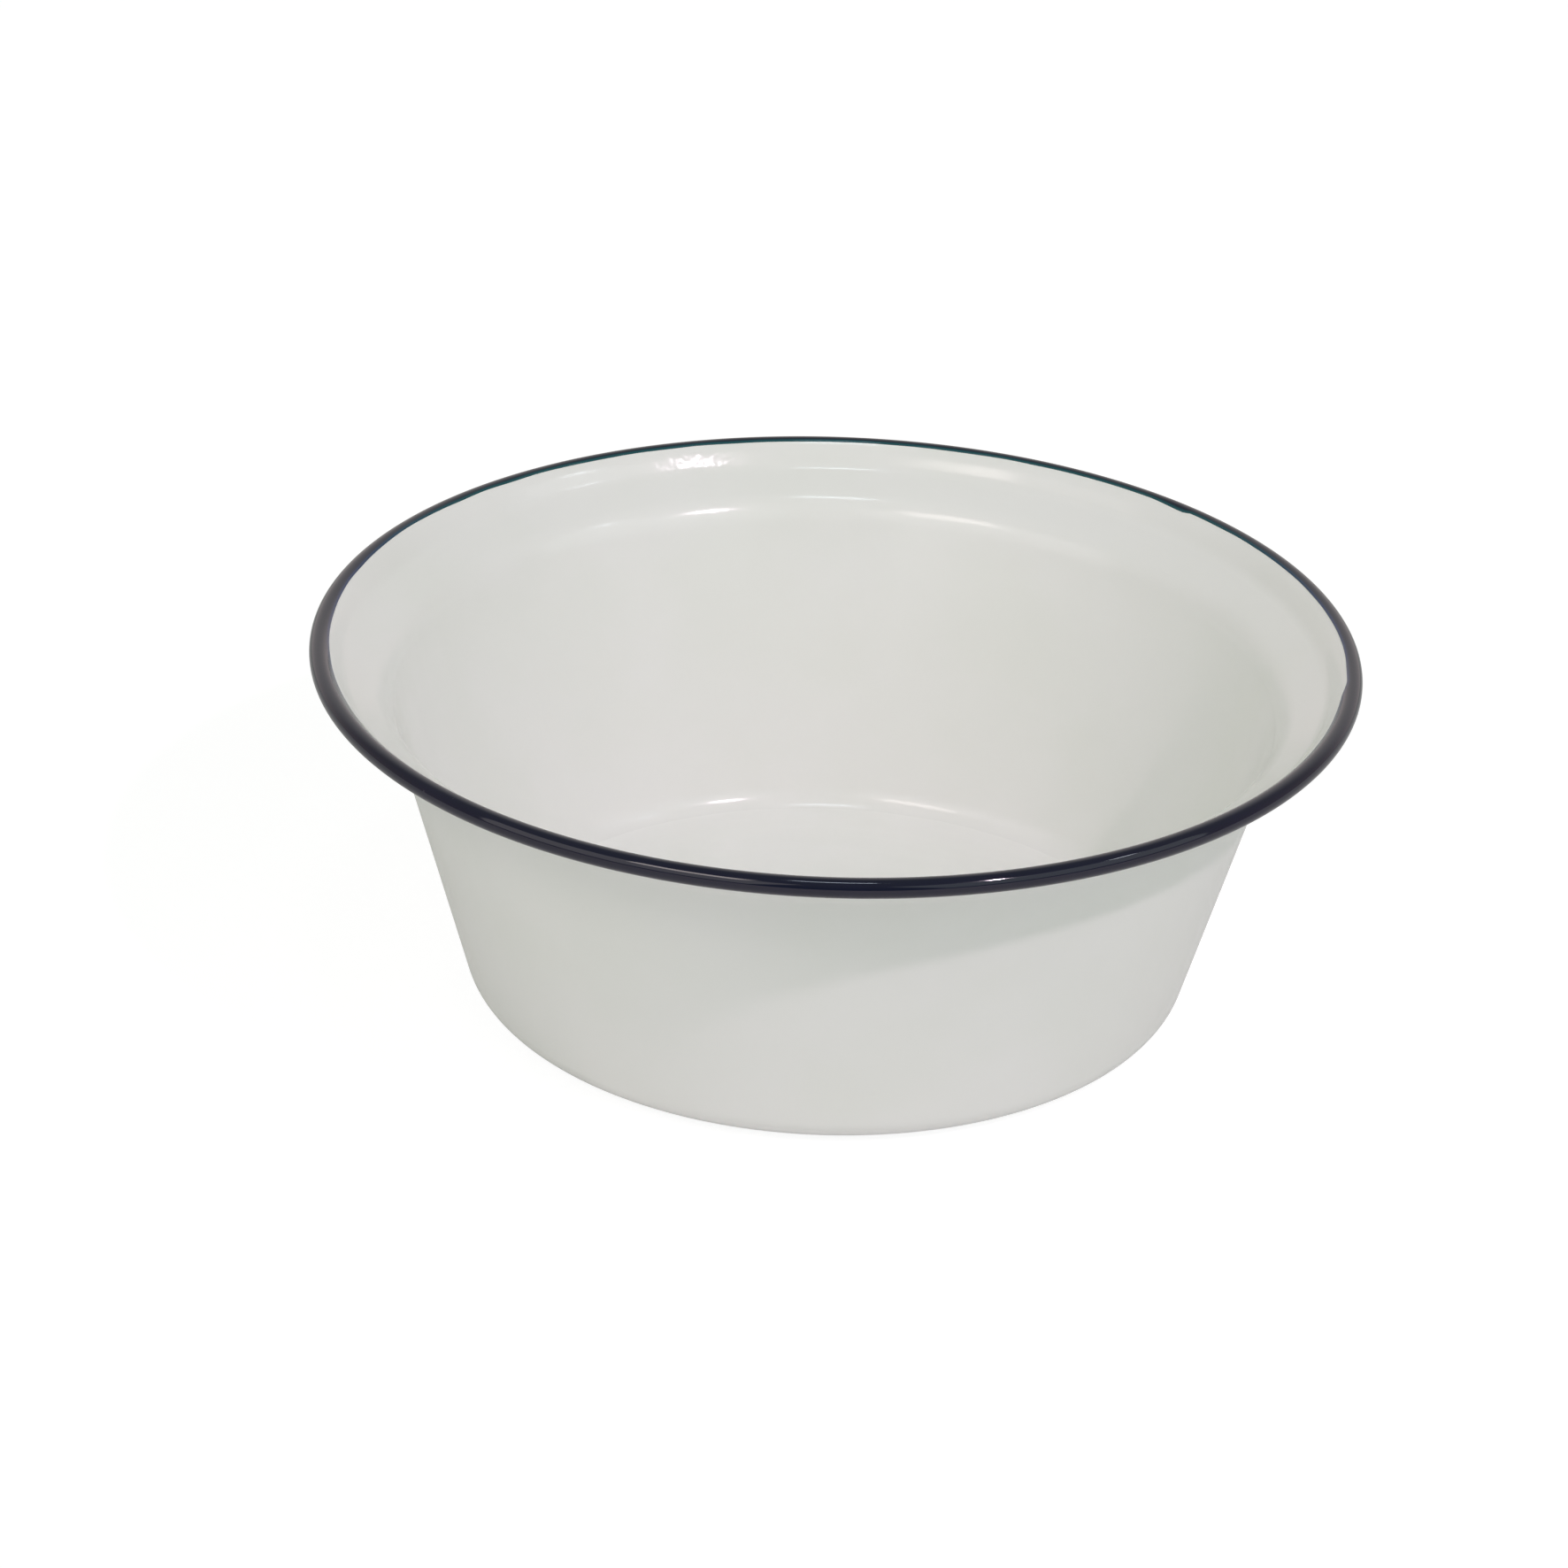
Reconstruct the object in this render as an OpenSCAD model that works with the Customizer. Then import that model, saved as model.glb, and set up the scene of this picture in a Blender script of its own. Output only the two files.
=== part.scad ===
// Enamelled steel basin: one drawn sheet with a rolled rim, under layers of fired enamel.
// The frame has its origin on the ground, under the middle of the base, with +Z up.

/* [Overall] */
// Diameter over the rim bead
rim_d = 320; // [290:1:380]
// Height from the ground to the top of the rim
height = 114; // [90:1:150]
// Inside diameter of the base, at the sharp corner of heel and wall
base_d = 218; // [190:1:236]

/* [Sheet and enamel] */
// Thickness of the steel sheet
sheet_t = 0.6; // [0.4:0.05:1]
// Thickness of the ground coat on each face of the sheet
ground_t = 0.15; // [0.1:0.01:0.25]
// Thickness of the white coat on each face
white_t = 0.2; // [0.15:0.01:0.3]
// Thickness of the dark blue band over the rim
band_t = 0.2; // [0.1:0.01:0.3]

/* [Rim] */
// Diameter of the rolled bead, over its band
bead_d = 6; // [5:0.1:9]
// Angle that the sheet curls through in the bead
curl_angle = 253; // [240:1:265]
// Slope of the sheet from level where it enters the bead
bead_slope = 38; // [30:1:42]
// Angle of bare white bead between the sheet's entry and the band's inner edge
band_inset = 2; // [2:1:20]
// Angle of the bead that the band covers
band_angle = 203; // [170:1:215]

/* [Lip, flange and shoulder] */
// Radius of the brow, where the lip turns over into the bead
brow_r = 16; // [8:0.5:20]
// Slope of the lip from level
lip_slope = 53; // [44:1:60]
// Length of the lip, between the sharp corners of brow and cove
lip_l = 6.8; // [5.5:0.1:12]
// Radius of the cove between lip and flange
cove_r = 8.6; // [6:0.2:12]
// Slope of the flange from level
flange_slope = 30; // [15:1:40]
// Length of the flange, between the sharp corners of cove and shoulder
flange_l = 15.5; // [12:0.1:24]
// Radius of the shoulder between flange and wall
shoulder_r = 13.2; // [4:0.2:18]

/* [Base] */
// Radius of the corner between wall and heel
corner_r = 10.5; // [4:0.5:16]
// Width of the heel, from the sharp corner of the wall in to the standing ring
heel_w = 14; // [12:0.5:24]
// Rise of the heel from the standing ring to the sharp corner of the wall
heel_rise = 1; // [0.6:0.1:3]
// Width of the flat standing ring
ring_w = 5; // [3:0.5:10]
// Rise of the floor panel above the standing ring
panel_rise = 0.8; // [0.4:0.1:1.6]
// Slope of the step between standing ring and floor panel
step_slope = 5; // [3:0.5:12]
// Radius of the soft bends beside the standing ring
ring_bend_r = 15; // [8:1:20]

/* [Hidden] */
$fn = 128;

// Largest angle between neighbouring points of a bend
bend_step = 5;

// Depths below the finished inside face where each layer starts, and where the outside face lies
ground_depth = white_t;
steel_depth = ground_depth + ground_t;
back_ground_depth = steel_depth + sheet_t;
back_white_depth = back_ground_depth + ground_t;
outside_depth = back_white_depth + white_t;

// Unit vectors along a heading, and to the left of it, which is the inside of the bowl
function along(heading) = [cos(heading), sin(heading)];
function left_of(heading) = [-sin(heading), cos(heading)];
function heading_of(from, to) = atan2(to[1] - from[1], to[0] - from[0]);

// Headings from one end of a bend towards the other, without the last one
function sweep(from, to) =
    let (steps = ceil(abs(to - from) / bend_step))
    [for (i = [0 : steps - 1]) from + (to - from) * i / steps];

// Points of a bend at a depth below the inside face. The turn is positive to the left.
function bend(centre, signed_r, headings, depth) =
    [for (h = headings) centre - (signed_r + depth) * left_of(h)];

// The bead: headings where the sheet enters it, where the band starts and ends, and where the curl ends
bead_r = bead_d / 2 - band_t;
bead_centre = [(rim_d - bead_d) / 2, height - bead_d / 2];
bead_marks = [
    bead_slope,
    bead_slope - band_inset,
    bead_slope - band_inset - band_angle,
    bead_slope - curl_angle,
];
entry_point = bead_centre + bead_r * left_of(bead_slope);

// Sharp corners of the inside face, from the axis out to the bead
ring_z = outside_depth;
ring_r = base_d / 2 - heel_w;
step_w = panel_rise / tan(step_slope);
brow_corner = entry_point - brow_r * tan((lip_slope - bead_slope) / 2) * along(bead_slope);
cove_corner = brow_corner - lip_l * along(lip_slope);
corners = [
    [0, ring_z + panel_rise],
    [ring_r - ring_w - step_w, ring_z + panel_rise],
    [ring_r - ring_w, ring_z],
    [ring_r, ring_z],
    [base_d / 2, ring_z + heel_rise],
    cove_corner - flange_l * along(flange_slope),
    cove_corner,
    brow_corner,
    entry_point,
];
bend_radii = [ring_bend_r, ring_bend_r, ring_bend_r, corner_r, shoulder_r, cove_r, brow_r];

// Points of one rounded corner at a depth, ending with the heading that leaves it
function rounded_corner(i, depth) =
    let (
        arrive = heading_of(corners[i - 1], corners[i]),
        leave = heading_of(corners[i], corners[i + 1]),
        signed_r = sign(leave - arrive) * bend_radii[i - 1],
        middle = (arrive + leave) / 2,
        centre = corners[i] + signed_r / cos((leave - arrive) / 2) * left_of(middle)
    )
    bend(centre, signed_r, concat(sweep(arrive, leave), leave), depth);

// Points around the bead at a depth, from one of its marks to another
function bead_points(first, last, depth) =
    let (
        headings = [
            for (i = [first : last - 1]) each sweep(bead_marks[i], bead_marks[i + 1]),
            bead_marks[last],
        ]
    )
    bend(bead_centre, -bead_r, headings, depth);

// Points of the bowl's face at a depth, from the axis to the bead's entry
function bowl_points(depth) = concat(
    [corners[0] - depth * left_of(0)],
    [for (i = [1 : len(bend_radii)]) each rounded_corner(i, depth)]
);

// Points of the whole face at a depth, on from the bead's entry to the end of the curl
function curled_points(depth) =
    let (bead = bead_points(0, len(bead_marks) - 1, depth))
    concat(bowl_points(depth), [for (i = [1 : len(bead) - 1]) bead[i]]);

function reversed(points) = [for (i = [len(points) - 1 : -1 : 0]) points[i]];

// A turned layer between two lists of points
module layer(inner, outer) {
    rotate_extrude()
        polygon(concat(inner, reversed(outer)));
}

module steel_bowl() {
    color("slategray")
        layer(curled_points(steel_depth), curled_points(back_ground_depth));
}

module ground_coat_inside() {
    color("dimgray")
        layer(curled_points(ground_depth), curled_points(steel_depth));
}

module ground_coat_outside() {
    color("dimgray")
        layer(curled_points(back_ground_depth), curled_points(back_white_depth));
}

module white_coat_inside() {
    color("whitesmoke")
        layer(curled_points(0), curled_points(ground_depth));
}

// The outside coat stops where the sheet enters the curl
module white_coat_outside() {
    color("whitesmoke")
        layer(bowl_points(back_white_depth), bowl_points(outside_depth));
}

module rim_band() {
    color("midnightblue")
        layer(bead_points(1, 2, -band_t), bead_points(1, 2, 0));
}

steel_bowl();
ground_coat_inside();
ground_coat_outside();
white_coat_inside();
white_coat_outside();
rim_band();
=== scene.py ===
from math import atan2, cos, degrees, hypot, pi, radians, sin, tan

import bmesh
import bpy
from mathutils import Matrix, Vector, noise


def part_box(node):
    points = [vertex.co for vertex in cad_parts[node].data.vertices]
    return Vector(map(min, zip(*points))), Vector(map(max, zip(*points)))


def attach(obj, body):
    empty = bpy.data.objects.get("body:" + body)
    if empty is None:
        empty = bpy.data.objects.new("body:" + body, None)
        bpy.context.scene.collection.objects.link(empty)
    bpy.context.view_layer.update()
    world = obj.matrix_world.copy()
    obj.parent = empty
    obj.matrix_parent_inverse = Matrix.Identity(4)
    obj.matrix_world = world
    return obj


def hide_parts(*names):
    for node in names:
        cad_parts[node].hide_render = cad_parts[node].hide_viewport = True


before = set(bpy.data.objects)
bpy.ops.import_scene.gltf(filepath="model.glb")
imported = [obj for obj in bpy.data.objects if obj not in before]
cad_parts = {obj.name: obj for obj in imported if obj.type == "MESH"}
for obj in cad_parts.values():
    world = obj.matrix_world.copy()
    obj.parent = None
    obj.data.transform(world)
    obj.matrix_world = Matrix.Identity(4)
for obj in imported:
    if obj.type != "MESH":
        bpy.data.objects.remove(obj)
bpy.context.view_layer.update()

mm = 0.001


# Section of the bowl on its finished inside face, from the axis out to the rim.
# Slopes and angles are in degrees, here and further on.
bowlLine = {
    "baseR": 109 * mm,  # sharp corner of heel and wall
    "heelWidth": 14 * mm,
    "heelRise": 1.0 * mm,
    "ringWidth": 5 * mm,  # the flat ring that the bowl stands on
    "panelRise": 0.8 * mm,
    "stepSlope": 5,
    "flangeSlope": 30,
    "flangeLength": 15.5 * mm,
    "lipSlope": 53,
    "lipLength": 6.8 * mm,
    "beadSlope": 38,  # slope of the sheet where it enters the rolled bead
    "curlAngle": 253,
    "ringBendR": 15 * mm,
    "cornerR": 10.5 * mm,
    "shoulderR": 13.2 * mm,
    "coveR": 8.6 * mm,
    "browR": 16 * mm,
    "sectors": 16,  # copies of one spun sector make the full turn
    "sectorSteps": 20,
    "lineSteps": 3,  # fewest steps along a straight
    "bendSteps": 2,  # fewest steps around a bend
    "mergeGap": 0.001 * mm,
    "sharpAngle": 35,  # edges sharper than this stay sharp in the shading
}

# Depths of the layers under the finished inside face
layers = {
    "whiteInside": 0.2 * mm,  # back of the inside coat
    "backOfGround": 1.1 * mm,  # where the outside coat starts
    "finishedOutside": 1.3 * mm,
    "band": 0.2 * mm,  # this one lies on top
}

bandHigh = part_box("rim_band")[1]  # the upper corner of its box
rimR = bandHigh.x
rimTop = bandHigh.z
beadR = 2.8 * mm  # the bead under its band
beadCentre = Vector((rimR - beadR - layers["band"], 0, rimTop - beadR - layers["band"]))


def along(heading):
    return Vector((cos(radians(heading)), 0, sin(radians(heading))))


def leftOf(heading):
    return along(heading + 90)


def headingOf(step):
    return degrees(atan2(step.z, step.x))


def bowlCorners():
    line = bowlLine
    entry = beadCentre + leftOf(line["beadSlope"]) * beadR
    setback = line["browR"] * tan(radians(line["lipSlope"] - line["beadSlope"]) / 2)
    brow = entry - along(line["beadSlope"]) * setback
    cove = brow - along(line["lipSlope"]) * line["lipLength"]
    shoulder = cove - along(line["flangeSlope"]) * line["flangeLength"]
    ringZ = layers["finishedOutside"]
    panelZ = ringZ + line["panelRise"]
    ringR = line["baseR"] - line["heelWidth"]
    stepR = ringR - line["ringWidth"]
    panelR = stepR - line["panelRise"] / tan(radians(line["stepSlope"]))
    return [
        Vector((0, 0, panelZ)),
        Vector((panelR, 0, panelZ)),
        Vector((stepR, 0, ringZ)),
        Vector((ringR, 0, ringZ)),
        Vector((line["baseR"], 0, ringZ + line["heelRise"])),
        shoulder,
        cove,
        brow,
        entry,
    ]


def spinTip(bm, tip, **motion):
    # draws on from the section's last point, and returns the new last point
    made = bmesh.ops.spin(bm, geom=[tip], axis=(0, -1, 0), **motion)
    return [part for part in made["geom_last"] if isinstance(part, bmesh.types.BMVert)][0]


def straightTo(bm, tip, place, grain):
    steps = max(bowlLine["lineSteps"], round((place - tip.co).length / grain))
    return spinTip(bm, tip, angle=0, dvec=(place - tip.co) / steps, steps=steps)


def bendAbout(bm, tip, centre, turn, grainAngle):
    # a left turn is positive
    steps = max(bowlLine["bendSteps"], round(abs(turn) / grainAngle))
    return spinTip(bm, tip, cent=centre, angle=radians(turn), steps=steps)


def drawBowl(bm, depth, grain, grainAngle):
    # walks the section at a depth under the inside face, from the axis to the bead's entry
    line = bowlLine
    corners = bowlCorners()
    radii = [line["ringBendR"]] * 3 + [line[bend] for bend in ("cornerR", "shoulderR", "coveR", "browR")]
    tip = bm.verts.new(corners[0] - leftOf(0) * depth)
    for before, corner, after, radius in zip(corners, corners[1:], corners[2:], radii):
        arrive = headingOf(corner - before)
        turn = headingOf(after - corner) - arrive
        tangent = corner - along(arrive) * radius * tan(radians(abs(turn)) / 2)
        side = leftOf(arrive) * (1 if turn > 0 else -1)
        tip = straightTo(bm, tip, tangent - leftOf(arrive) * depth, grain)
        tip = bendAbout(bm, tip, tangent + side * radius, turn, grainAngle)
    return tip


def spinRound(bm, steps):
    # one sector of the turn, then its copies all the way round, merged at the seams and at the poles
    sector = 2 * pi / bowlLine["sectors"]
    copies = bowlLine["sectors"] - 1
    section = bm.verts[:] + bm.edges[:]
    bmesh.ops.spin(bm, geom=section, axis=(0, 0, 1), angle=sector, steps=steps)
    whole = bm.verts[:] + bm.edges[:] + bm.faces[:]
    bmesh.ops.spin(bm, geom=whole, axis=(0, 0, 1), angle=sector * copies, steps=copies, use_duplicate=True)
    bmesh.ops.remove_doubles(bm, verts=bm.verts[:], dist=bowlLine["mergeGap"])
    bmesh.ops.recalc_face_normals(bm, faces=bm.faces[:])


def finishPiece(bm, name, node, material):
    mesh = bpy.data.meshes.new(name)
    bm.to_mesh(mesh)
    bm.free()
    mesh.shade_smooth()
    mesh.set_sharp_from_angle(angle=radians(bowlLine["sharpAngle"]))
    mesh.materials.append(material)
    piece = bpy.data.objects.new(name, mesh)
    bpy.context.scene.collection.objects.link(piece)
    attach(piece, "root")
    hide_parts(node)
    print(name, len(mesh.vertices), "vertices")


class Wire:
    # a shader socket: sums on wires add Math nodes, and add() makes any other node
    def __init__(self, tree, socket=None):
        self.tree = tree
        self.socket = socket

    def add(self, kind, settings, sockets, output=0):
        node = self.tree.nodes.new("ShaderNode" + kind)
        for name, setting in settings.items():
            setattr(node, name, setting)
        for key, value in sockets.items():
            if isinstance(value, Wire):
                self.tree.links.new(value.socket, node.inputs[key])
            else:
                node.inputs[key].default_value = value
        return Wire(self.tree, node.outputs[output] if node.outputs else None)

    def maths(self, operation, first, second):
        return self.add("Math", {"operation": operation}, {0: first, 1: second})

    def __add__(self, other):
        return self.maths("ADD", self, other)

    __radd__ = __add__

    def __mul__(self, other):
        return self.maths("MULTIPLY", self, other)

    __rmul__ = __mul__

    def __sub__(self, other):
        return self.maths("SUBTRACT", self, other)

    def __rsub__(self, other):
        return self.maths("SUBTRACT", other, self)

    def place(self):
        # the place on the piece, in metres
        return self.add("TexCoord", {}, {}, "Object")

    def part(self, axis):
        return self.add("SeparateXYZ", {}, {0: self}, axis)

    def noise(self, place, scale, detail):
        return self.add("TexNoise", {}, {"Vector": place, "Scale": scale, "Detail": detail})

    def ease(self, value, low, high):
        # 0 below low and 1 above high, with a soft way between
        settings = {"interpolation_type": "SMOOTHSTEP"}
        sockets = {"Value": value, "From Min": low, "From Max": high}
        return self.add("MapRange", settings, sockets)

    def mix(self, mask, first, second):
        return self.add("Mix", {"data_type": "RGBA"}, {0: mask, 6: first, 7: second}, 2)

    def bump(self, height, depth=1.0):
        # a height in metres, or a mask with the depth that it stands for
        return self.add("Bump", {}, {"Height": height, "Distance": depth})


def tone(red, green, blue):
    # an 8-bit display colour as linear light
    def linear(level):
        share = level / 255
        return share / 12.92 if share < 0.04045 else ((share + 0.055) / 1.055) ** 2.4

    return (linear(red), linear(green), linear(blue), 1.0)


def newMaterial(name):
    material = bpy.data.materials.new(name)
    material.use_nodes = True
    material.node_tree.nodes.clear()
    return material, Wire(material.node_tree)


def shade(wire, sockets):
    surface = wire.add("BsdfPrincipled", {}, sockets)
    wire.add("OutputMaterial", {}, {"Surface": surface})


# White cover coat; scales are per metre, here and in the other finishes
whiteEnamel = {
    "colour": tone(245, 245, 244),
    "thinColour": tone(242, 243, 240),  # where the coat lies thinner
    "patchScale": 14,
    "patchRange": (0.35, 0.7),  # levels of the noise where a thin patch starts, and where it is thinnest
    "peelScale": 420,  # orange peel
    "peelDepth": 0.002 * mm,
    "waveScale": 70,
    "waveDepth": 0.02 * mm,
    "ripplePlace": Vector((-44, 146, 108)) * mm,  # a rippled spot below the rim, behind on the left
    "rippleReach": (9.6 * mm, 24 * mm),  # full up to the first, gone from the second on
    "rippleScale": 300,
    "rippleDepth": 0.13 * mm,
    "gloss": 1.5,  # refractive index
    "roughness": 0.15,
    "roughnessScale": 56,
    "roughnessRange": 0.05,
    "wornBelow": (2.6 * mm, 4.0 * mm),  # the bottom is scoured duller, up to here
    "wornRoughness": 0.17,
}


def makeWhiteEnamel():
    look = whiteEnamel
    material, wire = newMaterial("white_enamel")
    place = wire.place()
    patches = wire.ease(wire.noise(place, look["patchScale"], detail=3), *look["patchRange"])
    colour = wire.mix(patches, look["colour"], look["thinColour"])
    peel = wire.noise(place, look["peelScale"], detail=1)
    waves = wire.noise(place, look["waveScale"], detail=1)
    away = wire.add("VectorMath", {"operation": "DISTANCE"}, {0: place, 1: look["ripplePlace"]}, "Value")
    spot = 1 - wire.ease(away, *look["rippleReach"])
    ripples = wire.noise(place, look["rippleScale"], detail=1) * spot
    height = peel * look["peelDepth"] + waves * look["waveDepth"] + ripples * look["rippleDepth"]
    dullness = wire.noise(place, look["roughnessScale"], detail=2) - 0.5  # above and below the mean
    worn = 1 - wire.ease(place.part("Z"), *look["wornBelow"])
    roughness = look["roughness"] + look["roughnessRange"] * dullness
    shade(wire, {
        "Base Color": colour,
        "Roughness": roughness + look["wornRoughness"] * worn,
        "IOR": look["gloss"],
        "Normal": wire.bump(height),
    })
    return material


# Blue coat over the rolled rim
blueEnamel = {
    "colour": tone(11, 8, 36),
    "patchColour": tone(16, 12, 44),
    "thinColour": tone(36, 56, 100),  # where the brush left less of it, along the edges
    # painted reflection: the thin edge's colour at the back, greener than at the front; the paler thin coat
    # along the edges is real
    "backReflectedColour": tone(30, 84, 92),
    "reflectionBackReach": (30 * mm, 110 * mm),  # from here on back the thin edge is painted greener, a painted reflection of the room behind it
    "patchScale": 60,
    "roughness": 0.05,
    "patchRoughness": 0.03,
    "gloss": 1.55,  # refractive index
    "pimpleScale": 110,  # cells per metre
    "pimpleSize": 0.045,  # share of a cell
    "pimpleShare": 0.25,  # share of the cells that have one
    "pimpleDepth": 0.06 * mm,
    "peelScale": 500,
    "peelDepth": 0.001 * mm,
}


def makeBlueEnamel():
    look = blueEnamel
    material, wire = newMaterial("blue_enamel")
    place = wire.place()
    patches = wire.noise(place, look["patchScale"], detail=2)
    colour = wire.mix(patches, look["colour"], look["patchColour"])
    thin = wire.add("Attribute", {"attribute_name": "thin"}, {}, "Fac")
    # painted reflection: towards the back the thin edge's colour turns greener, standing in for the room it
    # reflects there
    back = wire.ease(place.part("Y"), *look["reflectionBackReach"])
    colour = wire.mix(thin, colour, wire.mix(back, look["thinColour"], look["backReflectedColour"]))
    cells = wire.add("TexVoronoi", {}, {"Vector": place, "Scale": look["pimpleScale"]}, "Distance")
    chance = wire.add("TexVoronoi", {}, {"Vector": place, "Scale": look["pimpleScale"]}, "Color")
    chosen = wire.maths("LESS_THAN", wire.add("SeparateColor", {}, {0: chance}, 0), look["pimpleShare"])
    pimples = (1 - wire.ease(cells, 0.0, look["pimpleSize"])) * chosen
    peel = wire.noise(place, look["peelScale"], detail=1)
    shade(wire, {
        "Base Color": colour,
        "Roughness": look["roughness"] + look["patchRoughness"] * patches,
        "IOR": look["gloss"],
        "Normal": wire.bump(peel * look["peelDepth"] + pimples * look["pimpleDepth"]),
    })
    return material


# Dark ground coat, which only shows inside the curl
groundEnamel = {
    "colour": tone(38, 40, 48),
    "fleckColour": tone(78, 82, 92),
    "fleckScale": 900,
    "fleckRange": (0.55, 0.7),
    "fleckDepth": 0.01 * mm,
    "roughness": 0.3,
    "fleckRoughness": 0.25,
}


def makeGroundEnamel():
    look = groundEnamel
    material, wire = newMaterial("ground_enamel")
    flecks = wire.ease(wire.noise(wire.place(), look["fleckScale"], detail=2), *look["fleckRange"])
    shade(wire, {
        "Base Color": wire.mix(flecks, look["colour"], look["fleckColour"]),
        "Roughness": look["roughness"] + look["fleckRoughness"] * flecks,
        "Normal": wire.bump(flecks, look["fleckDepth"]),
    })
    return material


# Bare sheet at the cut edge of the curl
sheetSteel = {
    "colour": tone(120, 120, 122),
    "rustColour": tone(92, 70, 54),
    "grainScale": 1500,
    "grainDepth": 0.01 * mm,
    "grainRoughness": 0.2,
    "rustScale": 120,
    "rustRange": (0.55, 0.75),
    "rustRoughness": 0.25,
    "rustCover": 0.7,  # how much of the metal's shine the rust takes
    "roughness": 0.32,
}


def makeSheetSteel():
    look = sheetSteel
    material, wire = newMaterial("sheet_steel")
    place = wire.place()
    grain = wire.noise(place, look["grainScale"], detail=3)
    rust = wire.ease(wire.noise(place, look["rustScale"], detail=3), *look["rustRange"])
    shade(wire, {
        "Base Color": wire.mix(rust, look["colour"], look["rustColour"]),
        "Metallic": 1 - look["rustCover"] * rust,
        "Roughness": look["roughness"] + look["grainRoughness"] * grain + look["rustRoughness"] * rust,
        "Normal": wire.bump(grain, look["grainDepth"]),
    })
    return material


# Inside coat
insideCoat = {
    "grain": 3.4 * mm,  # length of the mesh's steps on straights
    "grainAngle": 2.5,  # turn of each step in bends
    "curlGrainAngle": 8,  # coarser steps where the band hides the curl
    "backGrain": 12 * mm,  # and on the hidden face
    "backGrainAngle": 15,
}


def makeInsideCoat(material):
    size = insideCoat
    bm = bmesh.new()
    curl = -bowlLine["curlAngle"]
    faceEnd = drawBowl(bm, 0, size["grain"], size["grainAngle"])
    faceEnd = bendAbout(bm, faceEnd, beadCentre, curl, size["curlGrainAngle"])
    backEnd = drawBowl(bm, layers["whiteInside"], size["backGrain"], size["backGrainAngle"])
    backEnd = bendAbout(bm, backEnd, beadCentre, curl, size["backGrainAngle"])
    bm.edges.new((faceEnd, backEnd))
    spinRound(bm, bowlLine["sectorSteps"])
    finishPiece(bm, "white_inside", "white_coat_inside", material)


# Outside coat
outsideCoat = {
    "grain": 3.4 * mm,
    "grainAngle": 4,
    "backGrain": 12 * mm,
    "backGrainAngle": 15,
}


def makeOutsideCoat(material):
    size = outsideCoat
    bm = bmesh.new()
    faceEnd = drawBowl(bm, layers["finishedOutside"], size["grain"], size["grainAngle"])
    backEnd = drawBowl(bm, layers["backOfGround"], size["backGrain"], size["backGrainAngle"])
    bm.edges.new((faceEnd, backEnd))
    spinRound(bm, bowlLine["sectorSteps"])
    finishPiece(bm, "white_outside", "white_coat_outside", material)


# Blue band, brushed over the bead by hand
rimBand = {
    "innerEdge": -0.04 * mm,  # how far it reaches in past the bead, along the face
    "lowerEdge": -76,  # angle around the bead, from level outwards and up
    "grainAngle": 7,
    "edgeGrainAngle": 30,  # coarser steps round the thickness of its edges
    "sectorSteps": 40,
    "waver": 0.25 * mm,  # how far the brush wandered
    "waverSize": 16 * mm,
    "innerThin": 0.12,  # shares of the band's width that are thin, along its edges
    "lowerThin": 0.04,
    "laps": [  # where strokes meet: bearings round the rim, and how far the edge moves in there
        {"start": 43.2, "full": 44.4, "still": 44.6, "end": 50, "gain": 0.6 * mm},
        {"start": 150, "full": 225, "still": 228, "end": 250, "gain": 3.6 * mm},
        {"start": 290, "full": 330, "still": 350.5, "end": 354.5, "gain": 1.5 * mm},
    ],
}


def easeTo(value, low, high):
    share = min(max((value - low) / (high - low), 0), 1)
    return share * share * (3 - 2 * share)


def brushEdge(place):
    # where the band's inner edge lies at a place on the rim
    bearing = degrees(atan2(place.y, place.x)) % 360
    edge = rimBand["innerEdge"] + rimBand["waver"] * noise.noise(place / rimBand["waverSize"])
    for lap in rimBand["laps"]:
        arrive = easeTo(bearing, lap["start"], lap["full"])
        edge += lap["gain"] * arrive * (1 - easeTo(bearing, lap["still"], lap["end"]))
    return edge


def rimPoint(reach, height):
    # a place on the section, so far in past the bead along the face, and so high above it
    slope = bowlLine["beadSlope"]
    radius = bowlLine["browR"] if reach > 0 else beadR
    centre = beadCentre - leftOf(slope) * (radius - beadR)
    return centre + leftOf(slope + degrees(reach / radius)) * (radius + height)


def makeRimBand(material):
    size = rimBand
    bm = bmesh.new()
    thin = bm.verts.layers.float.new("thin")
    inner = 90 + bowlLine["beadSlope"]
    lower = size["lowerEdge"]
    lowest = radians(lower - inner) * beadR
    thickness = layers["band"]
    innerFoot = beadCentre + along(inner) * beadR
    lowerFoot = beadCentre + along(lower) * beadR
    tip = bm.verts.new(innerFoot + leftOf(inner) * thickness)
    tip = bendAbout(bm, tip, innerFoot, -90, size["edgeGrainAngle"])
    tip = bendAbout(bm, tip, beadCentre, lower - inner, size["grainAngle"])
    tip = bendAbout(bm, tip, lowerFoot, -90, size["edgeGrainAngle"])
    rounding = 2 * degrees(atan2(thickness, beadR))
    bendAbout(bm, tip, beadCentre, inner - lower + rounding, size["grainAngle"])
    spinRound(bm, size["sectorSteps"])
    for vert in bm.verts:
        out = Vector((vert.co.x, vert.co.y, 0)).normalized()
        spoke = Vector((hypot(vert.co.x, vert.co.y) - beadCentre.x, 0, vert.co.z - beadCentre.z))
        share = (headingOf(spoke) - lower) / (inner - lower)
        reach = lowest + share * (brushEdge(out * beadCentre.x) - lowest)
        spot = rimPoint(reach, spoke.length - beadR)
        vert.co = out * spot.x + Vector((0, 0, spot.z))
        vert[thin] = 1 - easeTo(1 - share, 0, size["innerThin"]) * easeTo(share, 0, size["lowerThin"])
    finishPiece(bm, "blue_band", "rim_band", material)


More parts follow.
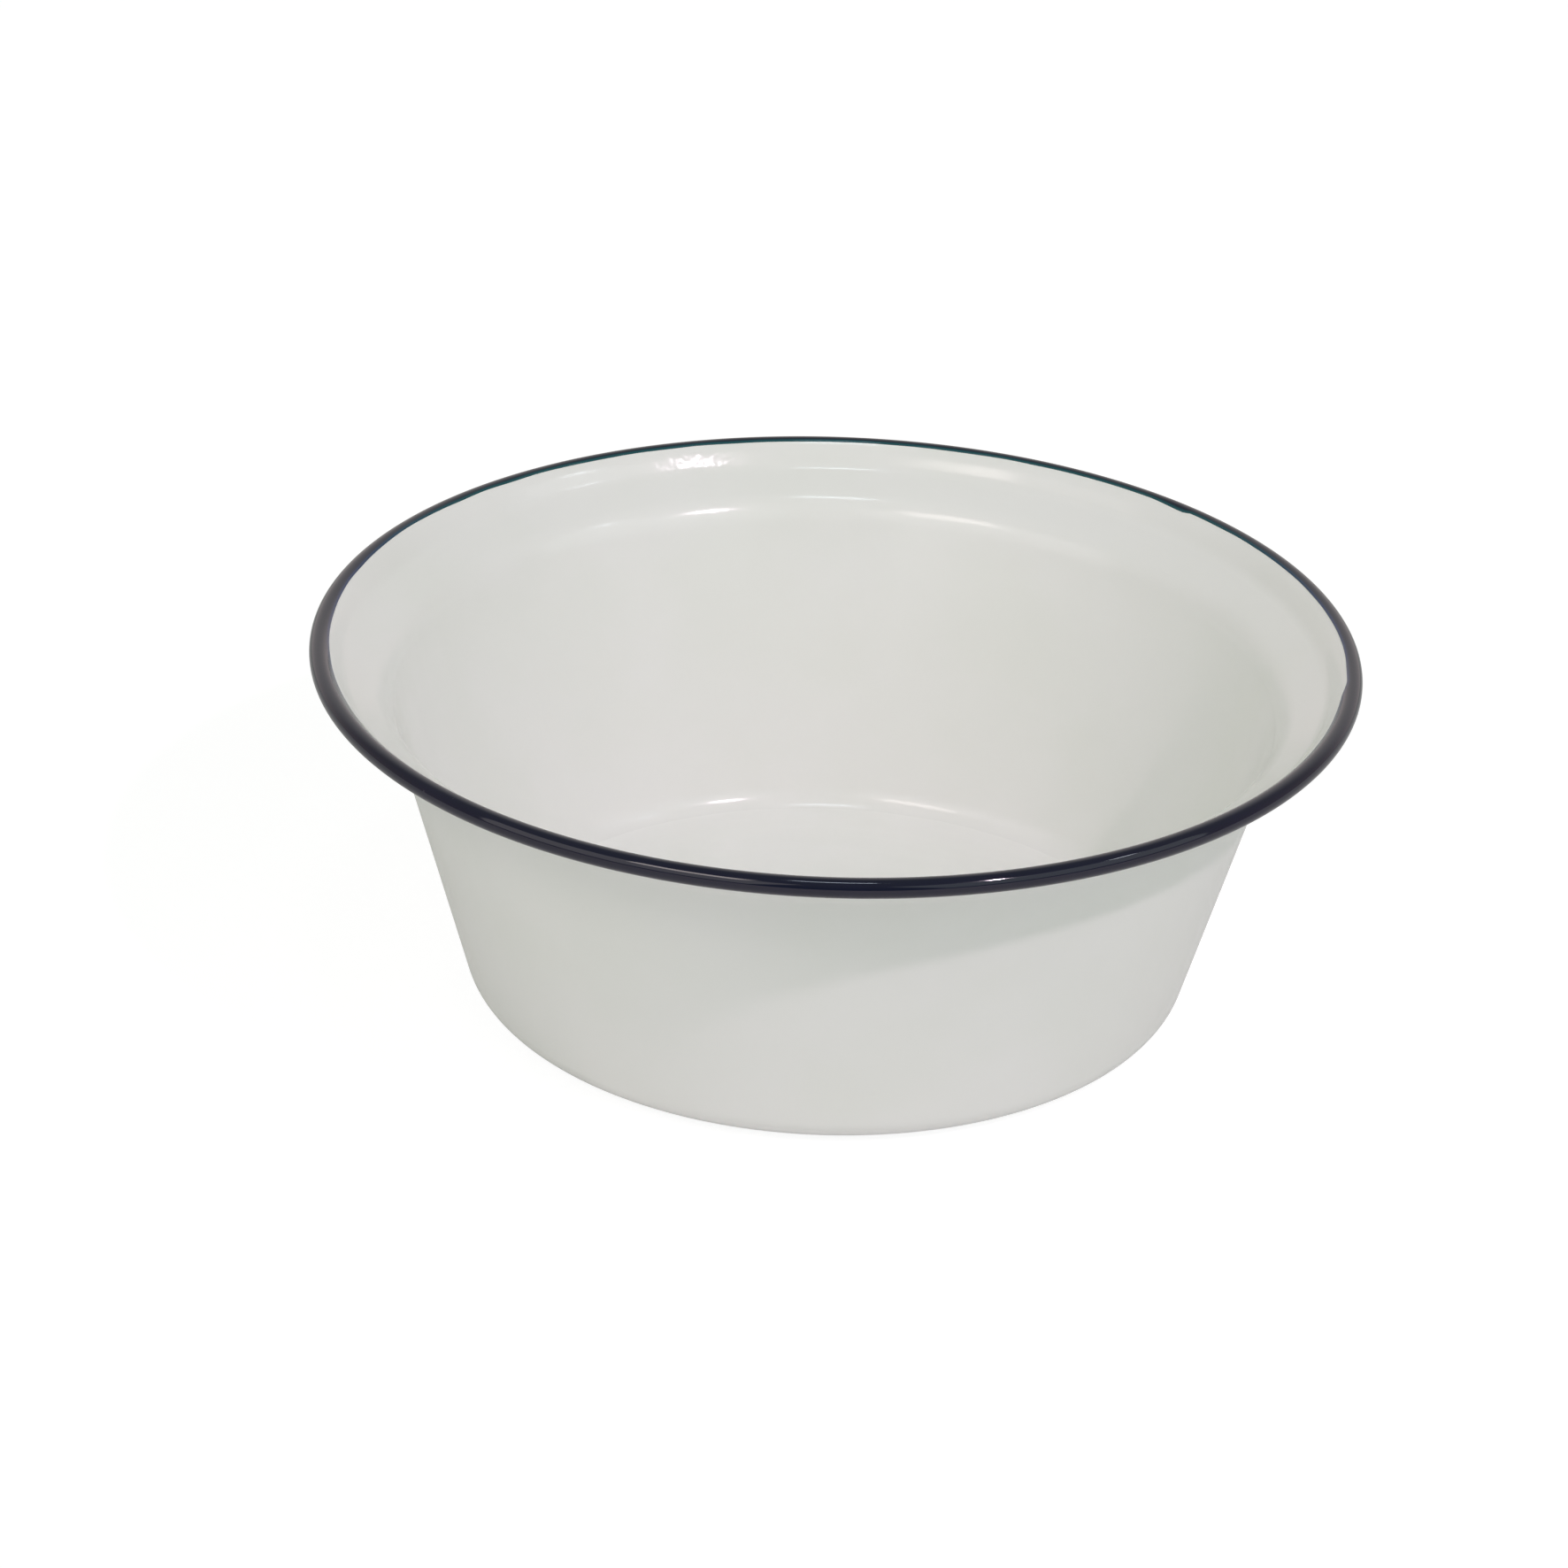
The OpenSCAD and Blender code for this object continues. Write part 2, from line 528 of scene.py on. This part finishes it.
# Camera, as the photograph was taken
cameraView = {
    "place": Vector((-14.5, -1588.9, 858.1)) * mm,
    "downTilt": 26.54,
    "roll": 1.91,
    "lens": 132.34,  # in millimetres, as the sensor is
    "sensor": 36.0,
}


def makeCamera():
    view = cameraView
    data = bpy.data.cameras.new("camera")
    data.lens = view["lens"]
    data.sensor_width = view["sensor"]
    camera = bpy.data.objects.new("camera", data)
    camera.location = view["place"]
    camera.rotation_mode = "ZYX"
    camera.rotation_euler = (radians(90 - view["downTilt"]), 0, radians(view["roll"]))
    bpy.context.scene.collection.objects.link(camera)
    bpy.context.scene.camera = camera


# Lamps: azimuth from the camera's side, to the right; spread is the angle that a lamp fills, across and up.
# A lamp's level is the white that it would give by itself to a surface square to it.
lamps = {
    "key": {
        "azimuth": 41.3,
        "elevation": 47.8,
        "spread": (1.7, 2.4),
        "level": 0.256,
        "colour": (1.0, 0.82, 0.93),
    },
    "warmLamp": {
        "azimuth": -34.0,
        "elevation": 46.5,
        "spread": (20, 12),
        "level": 0.105,
        "colour": (1.0, 0.9, 0.87),
    },
    "leftSoftBox": {
        "azimuth": -45.0,
        "elevation": 28.0,
        "spread": (60, 40),
        "level": 0.226,
        "colour": (1.0, 0.947, 0.931),
    },
    "rightSoftBox": {
        "azimuth": 52.0,
        "elevation": 28.0,
        "spread": (60, 40),
        "level": 0.158,
        "colour": (0.91, 1.0, 0.985),
    },
    "ceilingTube": {
        "azimuth": 4.0,
        "elevation": 81.0,
        "spread": (9.5, 2.6),
        "level": 0.037,
        "colour": (0.78, 0.88, 1.0),
    },
    "sideLamp": {
        "azimuth": 77.0,
        "elevation": 47.0,
        "spread": (5, 2.5),
        "level": 0.015,
        "colour": (0.85, 0.92, 1.0),
    },
}
lampDistance = 4.0


def makeLamp(name, lamp):
    data = bpy.data.lights.new(name, "AREA")
    data.shape = "RECTANGLE"
    data.size = 2 * lampDistance * tan(radians(lamp["spread"][0] / 2))
    data.size_y = 2 * lampDistance * tan(radians(lamp["spread"][1] / 2))
    data.energy = lamp["level"] * (pi * lampDistance) ** 2
    data.color = lamp["colour"]
    turn = radians(lamp["azimuth"])
    climb = radians(lamp["elevation"])
    direction = Vector((sin(turn) * cos(climb), -cos(turn) * cos(climb), sin(climb)))
    light = bpy.data.objects.new(name, data)
    light.location = direction * lampDistance
    light.rotation_euler = direction.to_track_quat("Z", "Y").to_euler()
    light.visible_camera = False
    bpy.context.scene.collection.objects.link(light)


# Surroundings: a room that is darkest in front and lightest behind, a white backdrop and a pale floor
studio = {
    "white": (1.0, 1.0, 1.0, 1.0),
    "frontColour": (0.087, 0.157, 0.116, 1.0),
    "backColour": (0.541, 0.45, 0.432, 1.0),
    "zenithColour": (0.238, 0.295, 0.244, 1.0),
    "backdropLevel": 0.4,  # what the backdrop adds to the room, in reflections
    "backdropReach": (0.45, 0.85),  # how squarely behind it starts, and where it is full
    "floorColour": tone(236, 236, 236),
    "floorWhite": 0.75,  # share of plain white in what is seen of the floor
    "floorMirrored": 0.15,  # how much of that white shows in reflections
    "floorWhiteLevel": 1.19,
    "floorR": 8.0,
    "floorSegments": 96,
}


def lightPath(wire, ray):
    return wire.add("LightPath", {}, {}, "Is " + ray + " Ray")


def mirrorRays(wire):
    return lightPath(wire, "Glossy") + lightPath(wire, "Transmission")


def makeWorld():
    world = bpy.data.worlds.new("studio")
    bpy.context.scene.world = world
    world.use_nodes = True
    world.node_tree.nodes.clear()
    wire = Wire(world.node_tree)
    direction = wire.add("TexCoord", {}, {}, "Generated")
    back = direction.part("Y")
    up = wire.maths("MAXIMUM", direction.part("Z"), 0.0)
    walls = wire.mix(0.5 + 0.5 * back, studio["frontColour"], studio["backColour"])
    behind = wire.ease(back, *studio["backdropReach"]) * mirrorRays(wire) * studio["backdropLevel"]
    room = wire.add("Background", {}, {"Color": wire.mix(up, walls, studio["zenithColour"])})
    backdrop = wire.add("Background", {}, {"Color": studio["white"], "Strength": behind})
    room = wire.add("AddShader", {}, {0: room, 1: backdrop})
    plain = wire.add("Background", {}, {"Color": studio["white"], "Strength": 1.0})
    surface = wire.add("MixShader", {}, {0: lightPath(wire, "Camera"), 1: room, 2: plain})
    wire.add("OutputWorld", {}, {"Surface": surface})


def makeFloor():
    bm = bmesh.new()
    bmesh.ops.create_circle(bm, cap_ends=True, radius=studio["floorR"], segments=studio["floorSegments"])
    mesh = bpy.data.meshes.new("floor")
    bm.to_mesh(mesh)
    bm.free()
    floor = bpy.data.objects.new("floor", mesh)
    bpy.context.scene.collection.objects.link(floor)
    material, wire = newMaterial("floor")
    paper = wire.add("BsdfDiffuse", {}, {"Color": studio["floorColour"]})
    plain = wire.add("Emission", {}, {"Color": studio["white"], "Strength": studio["floorWhiteLevel"]})
    seen = lightPath(wire, "Camera") + mirrorRays(wire) * studio["floorMirrored"]
    share = wire.maths("MINIMUM", seen, 1.0) * studio["floorWhite"]
    surface = wire.add("MixShader", {}, {0: share, 1: paper, 2: plain})
    wire.add("OutputMaterial", {}, {"Surface": surface})
    mesh.materials.append(material)


makeCamera()
makeWorld()
makeFloor()
for lampName, lampLook in lamps.items():
    makeLamp(lampName, lampLook)
print("camera, lamps and floor made")

white = makeWhiteEnamel()
makeInsideCoat(white)
makeOutsideCoat(white)
makeRimBand(makeBlueEnamel())

ground = makeGroundEnamel()
hiddenLayers = {
    "steel_bowl": makeSheetSteel(),
    "ground_coat_inside": ground,
    "ground_coat_outside": ground,
}
for node, material in hiddenLayers.items():
    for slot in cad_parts[node].material_slots:
        slot.material = material
print("layers under the cover coats dressed")

bpy.context.scene.view_settings.view_transform = "Standard"
